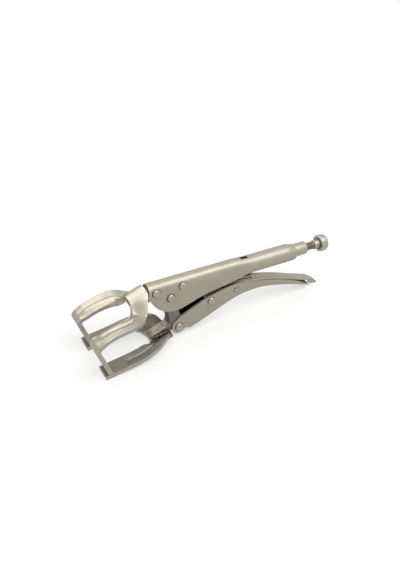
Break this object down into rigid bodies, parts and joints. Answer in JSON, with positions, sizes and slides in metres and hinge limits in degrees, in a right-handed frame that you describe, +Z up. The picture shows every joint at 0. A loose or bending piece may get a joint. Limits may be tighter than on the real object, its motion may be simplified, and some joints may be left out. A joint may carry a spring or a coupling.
{
  "type": "locking u-jaw welding clamp",
  "caption": "Locking pliers for welding with forked pressed-steel jaws, a toggle lever, a release lever and an adjusting screw.",
  "frame": {"origin": "centre of the footprint at the level of the rest points (front edges of the lower pads and the lip of the release lever)", "axes": "+X from the jaws towards the adjusting knob, +Y to the far side when the jaws are on the left, +Z up"},
  "size_m": [0.2646, 0.0596, 0.0666],
  "materials": {
    "nickel_plate": "satin nickel plated, slightly warm",
    "jaw_plate": "satin nickel plated thick plate with dark sheared edges",
    "lower_plate": "plated, darker and browner than the upper jaw",
    "stem_steel": "dark grey forged or blanked steel",
    "rivet_steel": "bright domed rivet",
    "weld_metal": "lumpy weld bead, straw coloured",
    "spring_steel": "drawn wire",
    "screw_steel": "rolled thread, brownish plate"
  },
  "bodies": {
    "frame": {"housing": "nickel_plate", "screw_bushing": "nickel_plate", "upper_jaw": "jaw_plate", "upper_jaw_tang": "stem_steel", "upper_jaw_welds": "weld_metal", "jaw_rivets": "rivet_steel", "pivot_rivet": "rivet_steel", "spring": "spring_steel"},
    "lower_jaw": {"lower_jaw": "lower_plate", "lower_jaw_stem": "stem_steel", "lower_jaw_welds": "weld_metal"},
    "lever": {"lever": "nickel_plate", "lever_pivot_rivet": "rivet_steel", "link_rivet": "rivet_steel", "release_pin": "rivet_steel"},
    "link": {"toggle_link": "stem_steel"},
    "release_lever": {"release_lever": "nickel_plate"},
    "screw": {"adjusting_screw": "screw_steel"},
    "knob": {"knob": "nickel_plate"}
  },
  "joints": [
    {"name": "jaw_hinge", "type": "hinge", "parent": "frame", "child": "lower_jaw", "pos_m": [-0.04817, 0, 0.04959], "axis": [0, -1, 0], "range_deg": [0, 22], "deforming": ["spring"]},
    {"name": "lever_hinge", "type": "hinge", "parent": "lower_jaw", "child": "lever", "pos_m": [-0.03995, 0, 0.01117], "axis": [0, -1, 0], "range_deg": [-64.92, 0]},
    {"name": "link_hinge", "type": "hinge", "parent": "lever", "child": "link", "pos_m": [-0.00459, 0, 0.02894], "axis": [0, -1, 0], "range_deg": [0, 80.32]},
    {"name": "release_hinge", "type": "hinge", "parent": "lever", "child": "release_lever", "pos_m": [0.0233, 0, 0.03225], "axis": [0, 1, 0], "range_deg": [0, 1.8], "stiffness_Nm_per_rad": 0.1, "springref_deg": -17.19},
    {"name": "screw_travel", "type": "slide", "parent": "frame", "child": "screw", "axis": [0.9989, 0, -0.0465], "range_m": [0, 0.012]},
    {"name": "knob_turn", "type": "hinge", "parent": "screw", "child": "knob", "pos_m": [0.12695, 0, 0.04814], "axis": [0.9989, 0, -0.0465], "range_deg": [0, 2881]}
  ],
  "couplings": [
    {"joint": "lever_hinge", "follows": "jaw_hinge", "ratio": -2.95},
    {"joint": "link_hinge", "follows": "jaw_hinge", "ratio": 3.65},
    {"joint": "knob_turn", "follows": "screw_travel", "rad_per_m": 4188.8}
  ]
}
